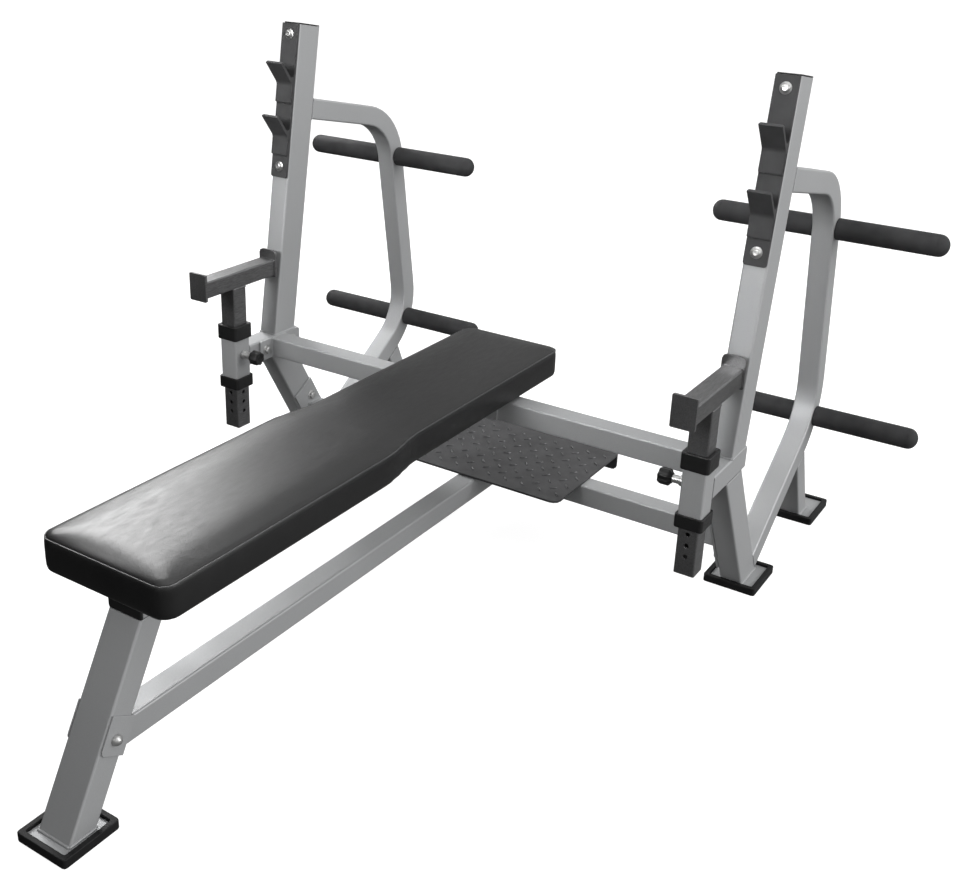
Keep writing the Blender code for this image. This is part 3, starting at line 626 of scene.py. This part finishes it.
def cross_member_welds():
    """The beads of the crossbars, the pad rail, the spine and its saddle, and the front leg."""
    bm = bmesh.new()
    for sign in (-1, 1):
        x = sign * FLANGE_X
        for y_low, z_low, z_high in CROSSBARS:
            y_high = y_low + TUBE
            outline = ((y_low, z_low), (y_high, z_low), (y_high, z_high), (y_low, z_high))
            beads(bm, [Vector((x, y, z)) for y, z in outline], 0.0022)
    for y, z_low, z_high, reach in BENCH_ENDS:
        for flank in (-reach, reach):
            bead(bm, Vector((flank, y, z_low)), Vector((flank, y, z_high)), 0.0024)

    leg_low, leg_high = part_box("front_leg")
    leg_depth = TUBE / math.cos(FRONT_LEG_LEAN)
    beads(bm, footprint(0, DEEP / 2, leg_low.y, leg_low.y + leg_depth, PLATE_TOP + PROUD), 0.0030)
    saddle_rear = Vector((0, leg_low.y, PLATE_TOP)) + FRONT_LEG_REAR * (TUBE + SADDLE_WALL)
    corners = [saddle_rear + FRONT_LEG_UP * ((z - saddle_rear.z) / FRONT_LEG_UP.z) for z in SPINE_SIDES]
    for flank in (-HALF, HALF):
        bead(bm, *[corner + X_AXIS * flank for corner in corners], 0.0026)
    bead(bm, corners[1] - X_AXIS * HALF, corners[1] + X_AXIS * HALF, 0.0026)
    leg_top_front = leg_high.y - leg_depth + BEAD_END
    for x in (-DEEP / 2 * 0.99, DEEP / 2 * 0.99):
        bead(bm, Vector((x, leg_top_front, ARM_LOW)), Vector((x, leg_high.y, ARM_LOW)), 0.0018)
    bead_across(bm, Vector((0, leg_high.y + PROUD, ARM_LOW - PROUD)), DEEP / 2, 0.0026)
    finish_piece("cross_member_welds", bm, "silver_frame")


def catcher_welds(side, sign):
    """The beads of a catcher's end plates and post, which slide with it."""
    bm = bmesh.new()
    x = sign * SIDE_X
    for y in CATCHER_ENDS:
        beads(bm, standing(x, y, CATCHER_HALF, CATCHER_LOW, CATCHER_TOP), 0.0020)
    post_front, post_rear = CATCHER_POST_Y - 0.022, CATCHER_POST_Y + 0.022
    beads(bm, footprint(x, CATCHER_POST_HALF, post_front, post_rear, CATCHER_LOW - 0.0002), 0.0022)
    finish_piece(f"catcher_welds_{side}", bm, "catcher_steel", f"spotter_{side}")


def rack_details(side, sign):
    """The welds under each hook's leg and the two bolts that hold the rack plate."""
    top = Vector((sign * SIDE_X, *RACK_TOP))

    def place(over, along, out):
        return top + X_AXIS * over + UPRIGHT_UP * along - UPRIGHT_REAR * out

    bm = bmesh.new()
    for bend in HOOK_BENDS:
        foot, reach = bend - HOOK_LEG, HOOK_HALF - 0.0008
        bead(bm, place(-reach, foot, RACK_OUT), place(reach, foot, RACK_OUT), 0.0030)
        for flank in (-HOOK_HALF, HOOK_HALF):
            bead(bm, place(flank, bend - 0.040, RACK_OUT), place(flank, bend - 0.004, RACK_OUT), 0.0013)
    finish_piece(f"rack_welds_{side}", bm, "rack_steel")

    bm = bmesh.new()
    for along in RACK_BOLTS:
        button_bolt(bm, place(0, along, RACK_OUT - PROUD), -UPRIGHT_REAR)
    finish_piece(f"rack_bolts_{side}", bm, "zinc")


def flange_bolts(side, sign):
    """One side's bolts: two through each crossbar's end flange and one through each bench flange."""
    bm = bmesh.new()
    x, inward = sign * (FLANGE_X + 0.0001), -X_AXIS * sign
    upper_z, lower_z = 0.3686, 0.1416
    for y in (0.2440, 0.3440):
        hexagon_bolt(bm, Vector((x, y, upper_z)), inward)
    leg_middle = Vector((x, 0.4290, lower_z))
    for along, over in ((0.0455, 0.012), (-0.063, -0.016)):
        hexagon_bolt(bm, leg_middle + LEG_UP * along + LEG_REAR * over, inward)
    for y, reach, z in ((0.2592, 0.066, upper_z), (0.3992, 0.0535, lower_z)):
        hexagon_bolt(bm, Vector((sign * reach, y, z)), -Y_AXIS, 0.0082)
    finish_piece(f"flange_bolts_{side}", bm, "zinc")


for side, sign in SIDES:
    side_welds(side, sign)
    catcher_welds(side, sign)
    rack_details(side, sign)
    flange_bolts(side, sign)
cross_member_welds()

# ---------------------------------------------------------------- spring pin knobs

KNOB_SEAT, PLUNGER_END = 0.5579, 0.5872     # distances from the bench's middle plane

# Distance from the seat and share of the grip's radius.
KNOB_PROFILE = ((0.0, 0.50), (0.0004, 0.62), (0.0030, 0.70), (0.0050, 0.90), (0.0070, 0.985),
                (0.0100, 1.0), (0.0240, 1.0), (0.0264, 0.975), (0.0280, 0.91), (0.0286, 0.80),
                (0.0284, 0.60), (0.0272, 0.46), (0.0268, 0.30), (0.0268, 0.02))
PLUNGER_PROFILE = ((0, 0.0030), (0.0012, 0.0039), (0.0290, 0.0039), (0.0292, 0.0030))
LOBES, LOBE_DEPTH = 7, 0.13


def knob(side, sign):
    """A lobed grip and the plunger in it, which pull out together."""
    low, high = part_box(f"pin_knob_{side}")
    axis_y, axis_z = (low.y + high.y) / 2, (low.z + high.z) / 2
    grip = (high.z - low.z) / 2
    inward = -X_AXIS * sign
    bm = bmesh.new()
    profile = [(distance, grip * share) for distance, share in KNOB_PROFILE]
    turned(bm, Vector((sign * KNOB_SEAT, axis_y, axis_z)), inward, profile, 84, LOBES, LOBE_DEPTH)
    stand_for(new_object(f"knob_grip_{side}", bm, 70), f"pin_knob_{side}")

    bm = bmesh.new()
    turned(bm, Vector((sign * PLUNGER_END, axis_y, axis_z)), inward, PLUNGER_PROFILE, 24)
    finish_piece(f"knob_plunger_{side}", bm, "zinc", f"pin_{side}")


for side, sign in SIDES:
    knob(side, sign)

# ---------------------------------------------------------------- platform tread

TREAD_PITCH_X = 0.0456
TREAD_PITCH_Y = 0.0498
TREAD_START = (-0.0050, 0.3220)         # middle of one mark, from which the others are set out
TREAD_MARGIN = 0.013


def lozenge(bm, centre, angle, length=0.0210, width=0.0056, height=0.0023):
    """A raised rice-grain mark with sloping flanks."""
    sides = 14
    rings = []
    for grow, rise in ((1.0, -0.0004), (1.0, 0.0), (0.74, height * 0.75), (0.42, height)):
        ring = []
        for i in range(sides):
            turn = 2 * math.pi * i / sides
            along = length / 2 * math.cos(turn) * (0.35 + 0.65 * grow)
            over = width / 2 * math.sin(turn) * abs(math.sin(turn)) ** 0.35 * grow
            ring.append(centre + Vector((along * math.cos(angle) - over * math.sin(angle),
                                         along * math.sin(angle) + over * math.cos(angle), rise)))
        rings.append(ring)
    skin(bm, rings)


def platform_tread():
    """Marks in staggered rows, which turn one way and the other from column to column."""
    low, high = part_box("platform")
    bm = bmesh.new()
    for column in range(-12, 13):
        for row in range(-1, 16):
            x = TREAD_START[0] + column * TREAD_PITCH_X / 2
            y = TREAD_START[1] + row * TREAD_PITCH_Y / 2
            staggered = (column + row) % 2 == 0
            inside = abs(x) <= high.x - TREAD_MARGIN and low.y + TREAD_MARGIN < y < high.y - TREAD_MARGIN
            if staggered and inside:
                lozenge(bm, Vector((x, y, high.z)), math.radians(45 if column % 2 else -45))
    # The marks are paler than the plate: partly wear, partly a painted highlight.
    finish_piece("platform_tread", bm, "chequer_plate", smooth=60, look=TREAD_WEAR_AND_PAINTED_HIGHLIGHT)


platform_tread()

# ---------------------------------------------------------------- pad

pad_low, pad_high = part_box("pad_cushion")
PAD_FRONT, PAD_REAR = pad_low.y, pad_high.y
PAD_LOW, PAD_HIGH = pad_low.z, pad_high.z
PAD_SEAT, PAD_HEAD = pad_high.x, 0.127  # half widths of the seat part and the head part
PAD_SHOULDER = (-0.245, -0.105)         # where the shoulders start and end
PAD_CORNER = 0.028
SEAM_Z = PAD_HIGH - 0.0062


def shoulder_half(share):
    """Half width of the pad at a share of the way through its shoulders."""
    return PAD_SEAT + (PAD_HEAD - PAD_SEAT) * (share * share * (3 - 2 * share))


def pad_edge(inset, steps=9):
    """Plan of the pad: a seat part that steps in through two shoulders to the head part."""
    radius = PAD_CORNER - inset

    def corner(half, y, first):
        centre = Vector((half - PAD_CORNER, y))
        angles = [math.radians(first + 90 * i / steps) for i in range(steps + 1)]
        return [centre + Vector((math.cos(a), math.sin(a))) * radius for a in angles]

    right = corner(PAD_SEAT, PAD_FRONT + PAD_CORNER, -90)
    start, end = PAD_SHOULDER
    for y in [PAD_FRONT + 0.06 + 0.03 * i for i in range(18)]:
        if y < start - 0.015:
            right.append(Vector((PAD_SEAT - inset, y)))
    for share in [i / 14 for i in range(15)]:
        right.append(Vector((shoulder_half(share) - inset, start + (end - start) * share)))
    for i in range(1, 18):
        right.append(Vector((PAD_HEAD - inset, end + (PAD_REAR - PAD_CORNER - 0.02 - end) * i / 18)))
    right += corner(PAD_HEAD, PAD_REAR - PAD_CORNER, 0)
    return right + [Vector((-p.x, p.y)) for p in right[::-1]]


def pad_form():
    """The cut foam before it is covered, a little smaller than the finished pad."""
    bm = bmesh.new()
    # Inset and height of each ring, from the underside up.
    levels = ((0.0030, PAD_LOW - 0.0012), (0.0000, PAD_LOW + 0.0010), (-0.0014, PAD_LOW + 0.0050),
              (-0.0018, PAD_LOW + 0.0160), (-0.0014, SEAM_Z - 0.0060), (-0.0006, SEAM_Z),
              (0.0024, SEAM_Z + 0.0026), (0.0074, SEAM_Z + 0.0050), (0.0150, SEAM_Z + 0.0064),
              (0.0260, SEAM_Z + 0.0070))
    skin(bm, [[Vector((p.x, p.y, z)) for p in pad_edge(inset)] for inset, z in levels])
    return new_object("bench_pad", bm, 180)


COVER_MESH = 0.006                      # spacing of the cover's points
COVER_FRAMES = 20                       # how long the cloth is left to settle


def inflate(piece, most, sideways, held):
    """Blow the cover up from inside with Cloth, holding some points, and keep a capped result."""
    scene = bpy.context.scene
    remesh = piece.modifiers.new("even_mesh", "REMESH")
    remesh.mode = "VOXEL"
    remesh.voxel_size = COVER_MESH
    bpy.context.view_layer.update()
    piece.data = bpy.data.meshes.new_from_object(piece.evaluated_get(bpy.context.evaluated_depsgraph_get()))
    piece.modifiers.clear()
    start = [v.co.copy() for v in piece.data.vertices]
    group = piece.vertex_groups.new(name="held")
    group.add([i for i, co in enumerate(start) if held(co)], 1.0, "REPLACE")
    cloth = piece.modifiers.new("cover", "CLOTH")
    cloth.settings.quality = 3
    cloth.settings.mass = 0.3
    cloth.settings.use_pressure = True
    cloth.settings.uniform_pressure_force = 4.0
    cloth.settings.effector_weights.gravity = 0.0
    cloth.settings.vertex_group_mass = "held"
    cloth.collision_settings.use_collision = False
    for number in range(1, COVER_FRAMES + 1):
        scene.frame_set(number)
    settled = piece.evaluated_get(bpy.context.evaluated_depsgraph_get()).data
    moved = [v.co.copy() for v in settled.vertices]
    piece.modifiers.clear()
    scene.frame_set(1)
    for vertex, before, after in zip(piece.data.vertices, start, moved):
        shift = after - before
        caps = (sideways, sideways, most)
        vertex.co = before + Vector([cap * math.tanh(far / cap) for far, cap in zip(shift, caps)])
    bm = bmesh.new()
    bm.from_mesh(piece.data)
    for _ in range(2):
        bmesh.ops.smooth_vert(bm, verts=bm.verts, factor=0.5,
                              use_axis_x=True, use_axis_y=True, use_axis_z=True)
    bm.to_mesh(piece.data)
    bm.free()
    piece.data.shade_smooth()
    finer = piece.modifiers.new("finer", "SUBSURF")
    finer.levels = finer.render_levels = 1


def holds(co):
    """The stapled underside and the seam round the top edge."""
    if co.z < PAD_LOW + 0.0035:
        return True
    if abs(co.z - SEAM_Z) > 0.0036:
        return False
    start, end = PAD_SHOULDER
    half = shoulder_half(min(max((co.y - start) / (end - start), 0), 1))
    from_side, from_end = half - abs(co.x), min(co.y - PAD_FRONT, PAD_REAR - co.y)
    from_edge = min(from_side, from_end)
    if from_side < PAD_CORNER and from_end < PAD_CORNER:
        from_edge = PAD_CORNER - math.hypot(PAD_CORNER - from_side, PAD_CORNER - from_end)
    return from_edge < 0.0050


pad = pad_form()
inflate(pad, 0.0040, 0.0022, holds)
stand_for(pad, "pad_cushion")


def pad_piping(covered):
    """The piping along the seam, laid on the blown-up cover, in a paler vinyl that carries a painted
    highlight.
    """
    bpy.context.view_layer.update()
    cover = BVHTree.FromObject(covered, bpy.context.evaluated_depsgraph_get())
    path = []
    for p in pad_edge(-0.002):
        spot, normal, _, _ = cover.find_nearest(Vector((p.x, p.y, SEAM_Z + 0.0014)))
        path.append(spot + normal * 0.0004)
    bm = bmesh.new()
    swept(bm, path, [0.0014 + 0.00015 * noise.noise(p * 60) for p in path], 10, ring=True)
    finish_piece("pad_piping", bm, "vinyl", smooth=60, look=PIPING_PAINTED_HIGHLIGHT)


pad_piping(pad)

# ---------------------------------------------------------------- camera and studio


def camera():
    """A camera that looks down at the bench from its right, in front of its foot end."""
    yaw, pitch, roll = (math.radians(a) for a in (32.9, -22.0, 1.6))
    ahead = Vector((-math.sin(yaw) * math.cos(pitch), math.cos(yaw) * math.cos(pitch), math.sin(pitch)))
    level_right = Vector((math.cos(yaw), math.sin(yaw), 0))
    level_up = level_right.cross(ahead)
    right = level_right * math.cos(roll) + level_up * math.sin(roll)
    up = level_up * math.cos(roll) - level_right * math.sin(roll)
    pose = Matrix((right, up, -ahead)).transposed().to_4x4()
    pose.translation = Vector((1.348, -1.925, 1.463))
    lens = bpy.data.cameras.new("camera")
    lens.lens = 45.25
    lens.shift_x = 0.045
    lens.shift_y = -0.0658
    made = bpy.data.objects.new("camera", lens)
    bpy.context.collection.objects.link(made)
    made.matrix_world = pose
    bpy.context.scene.camera = made


# Brightness of the room, from straight down at 0 to straight up at 1.
ROOM_STOPS = ((0.0, 0.14), (0.44, 0.26), (0.58, 0.72), (1.0, 0.85))
BRIGHT_WAY = (0.95, 0.31, 0)            # to the right and a little back
DIM_SCALE, BRIGHT_SCALE = 0.10, 2.15    # of the brightness, away from the bright way and towards it
ROOM_STRENGTH = 0.7
ROOM_RADIUS = 40
BACKDROP_TOP = 24


def room_light():
    """A room that is pale above and darker below, and dimmer towards the left."""
    world = bpy.data.worlds.new("studio")
    bpy.context.scene.world = world
    world.use_nodes = True
    tree = world.node_tree
    place = tree.nodes.new("ShaderNodeTexCoord").outputs["Generated"]
    split = tree.nodes.new("ShaderNodeSeparateXYZ")
    ramp = tree.nodes.new("ShaderNodeValToRGB")
    share_up = tree.nodes.new("ShaderNodeMapRange")
    share_up.inputs["From Min"].default_value = -1
    while len(ramp.color_ramp.elements) < len(ROOM_STOPS):
        ramp.color_ramp.elements.new(0.5)
    for element, (position, value) in zip(ramp.color_ramp.elements, ROOM_STOPS):
        element.position = position
        element.color = (value, value, value, 1)
    facing = tree.nodes.new("ShaderNodeVectorMath")
    facing.operation = "DOT_PRODUCT"
    facing.inputs[1].default_value = BRIGHT_WAY
    brighten = tree.nodes.new("ShaderNodeMapRange")
    brighten.inputs["From Min"].default_value = -1
    brighten.inputs["To Min"].default_value = DIM_SCALE
    brighten.inputs["To Max"].default_value = BRIGHT_SCALE
    scale = tree.nodes.new("ShaderNodeVectorMath")
    scale.operation = "SCALE"
    background = tree.nodes["Background"]
    for source, target in ((place, split.inputs["Vector"]), (split.outputs["Z"], share_up.inputs["Value"]),
                           (share_up.outputs["Result"], ramp.inputs["Fac"]), (place, facing.inputs[0]),
                           (facing.outputs["Value"], brighten.inputs["Value"]),
                           (ramp.outputs["Color"], scale.inputs[0]),
                           (brighten.outputs["Result"], scale.inputs["Scale"]),
                           (scale.outputs["Vector"], background.inputs["Color"])):
        tree.links.new(source, target)
    background.inputs["Strength"].default_value = ROOM_STRENGTH


def softbox(name, place, target, width, height, power, spread=180):
    """A rectangular lamp that points at a target; the power is in watts and the spread in degrees."""
    light = bpy.data.lights.new(name, "AREA")
    light.shape = "RECTANGLE"
    light.size = width
    light.size_y = height
    light.energy = power
    light.spread = math.radians(spread)
    made = bpy.data.objects.new(name, light)
    made.location = place
    made.rotation_euler = (Vector(target) - Vector(place)).to_track_quat("-Z", "Y").to_euler()
    bpy.context.collection.objects.link(made)


def stage_piece(name, bm, grey, roughness, emission):
    """A glowing matt piece of the room, which neither lights the bench nor shows in its reflections."""
    piece = new_object(name, bm)
    look = Shader(f"pale_{name}", (grey, grey, grey), roughness, emission_strength=emission)
    look.set("Emission Color", (1, 1, 1, 1))
    look.set("Specular IOR Level", 0.0)
    piece.data.materials.append(look.material)
    piece.visible_glossy = False
    piece.visible_diffuse = False
    return piece


def studio():
    """The room's own light, four softboxes, a pale floor and a white backdrop."""
    bpy.context.scene.view_settings.view_transform = "Standard"
    room_light()
    softbox("back_left_softbox", (-3.4, 1.8, 2.75), (0, -0.6, 0.4), 1.3, 1.8, 112)
    softbox("top_softbox", (0.2, 0.2, 3.6), (0, 0.3, 0.3), 3.0, 3.0, 32)
    softbox("right_softbox", (6.5, 1.2, 2.6), (0, 0.2, 0.6), 4.0, 3.0, 230)
    softbox("front_softbox", (-0.9, -3.2, 2.4), (-0.2, 0.5, 1.15), 2.4, 1.4, 13, 36)

    bm = bmesh.new()
    bmesh.ops.create_circle(bm, cap_ends=True, radius=ROOM_RADIUS, segments=64)
    stage_piece("floor", bm, 0.32, 0.9, 0.90)
    bm = bmesh.new()
    levels = (-0.01, BACKDROP_TOP, BACKDROP_TOP + 0.01)
    turned(bm, Vector((0, 0, 0)), Z_AXIS, [(z, ROOM_RADIUS) for z in levels], 64)
    stage_piece("backdrop", bm, 0.0, 1.0, 1.02).visible_shadow = False


camera()
studio()
